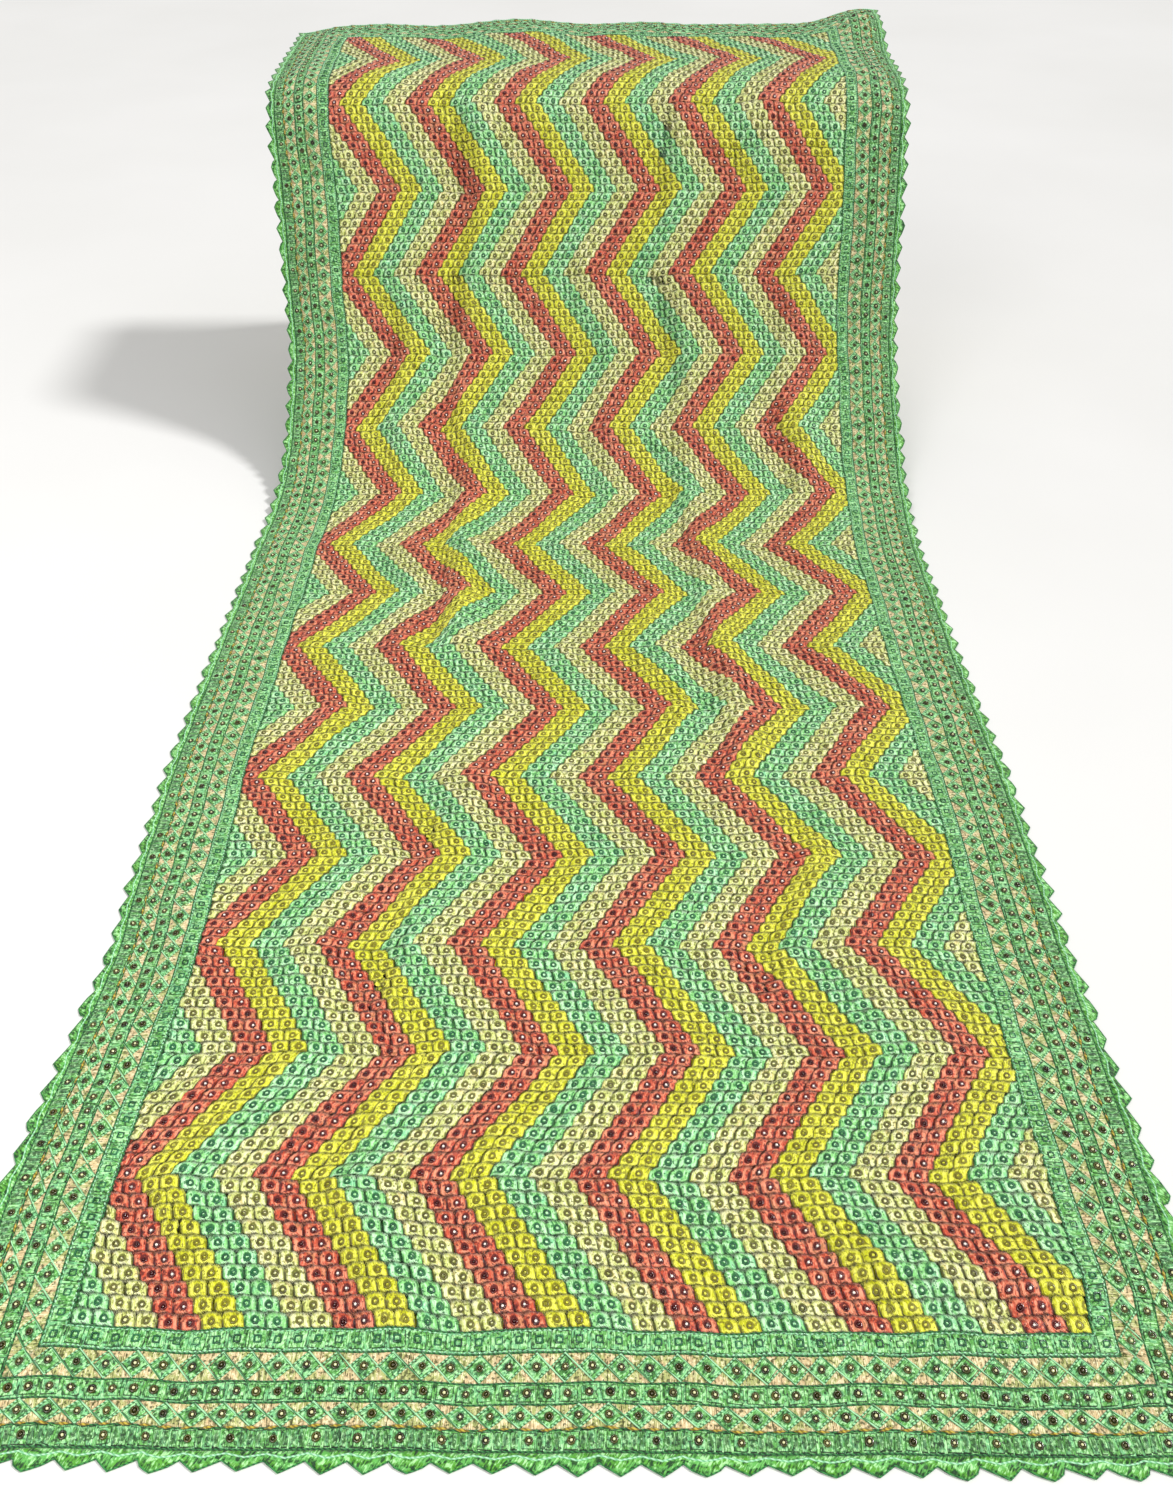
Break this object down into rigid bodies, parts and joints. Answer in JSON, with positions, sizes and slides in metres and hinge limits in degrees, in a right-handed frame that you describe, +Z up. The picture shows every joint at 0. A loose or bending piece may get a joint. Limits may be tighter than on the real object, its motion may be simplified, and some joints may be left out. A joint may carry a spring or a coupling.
{
  "type": "phulkari shawl draped over a low bench",
  "caption": "Rectangular embroidered shawl with a chevron field, banded border and pointed edging, draped from a low padded bench onto the floor.",
  "frame": {"origin": "centre of the object's bounding box, on the floor", "axes": "+Z up, +Y along the shawl from its near end on the floor to its far end on the bench, +X across to the right"},
  "size_m": [0.9544, 1.9595, 0.4932],
  "materials": {
    "field_cloth": "satin stitched cells in coral red, yellow, mint green and cream",
    "border_cloth": "green and cream satin stitch bands with small beads",
    "edging_cloth": "dense dark green overcast stitching",
    "bench_cover": "plain pale woven cover",
    "plinth_wood": "satin oiled wood"
  },
  "bodies": {
    "root": {"field_panel": "field_cloth", "border_left": "border_cloth", "border_right": "border_cloth", "border_near": "border_cloth", "border_far": "border_cloth", "edging_left": "edging_cloth", "edging_right": "edging_cloth", "edging_near": "edging_cloth", "edging_far": "edging_cloth", "bench_pad": "bench_cover", "bench_plinth": "plinth_wood"}
  },
  "joints": []
}
